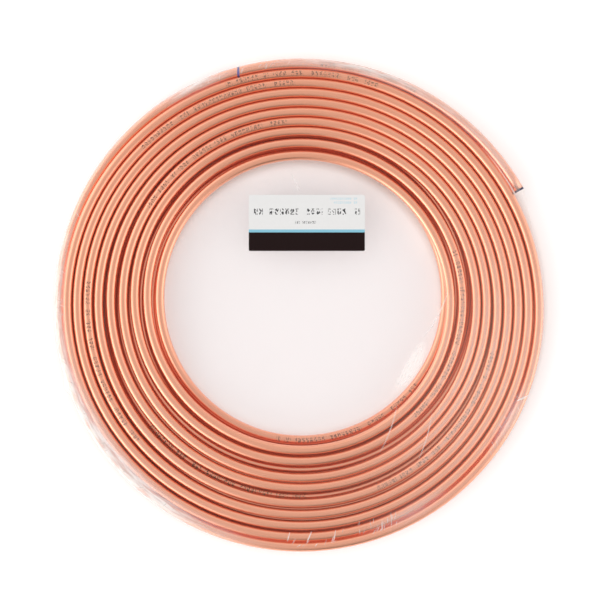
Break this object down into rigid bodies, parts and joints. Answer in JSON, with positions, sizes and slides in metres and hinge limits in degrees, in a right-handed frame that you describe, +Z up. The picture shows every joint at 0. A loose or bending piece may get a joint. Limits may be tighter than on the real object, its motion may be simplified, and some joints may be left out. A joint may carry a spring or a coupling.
{
  "type": "copper tube coil",
  "caption": "Flat round coil of soft copper tube wound in two layers, wrapped in clear shrink film with a paper label, for plumbing and cooling lines.",
  "frame": {"origin": "middle of the wrapped coil on the flat underside of its film", "axes": "+Z up out of the lying coil, +Y towards the label, +X to the right of someone reading the label"},
  "size_m": [0.5174, 0.5174, 0.0218],
  "materials": {
    "copper": "soft-drawn copper, satin",
    "plug_plastic": "moulded dark blue plastic",
    "clear_film": "clear shrink film",
    "label_paper": "coated paper"
  },
  "bodies": {
    "root": {"tube_coil": "copper", "plug_upper_end": "plug_plastic", "plug_lower_end": "plug_plastic", "shrink_film": "clear_film", "paper_label": "label_paper"}
  },
  "joints": []
}
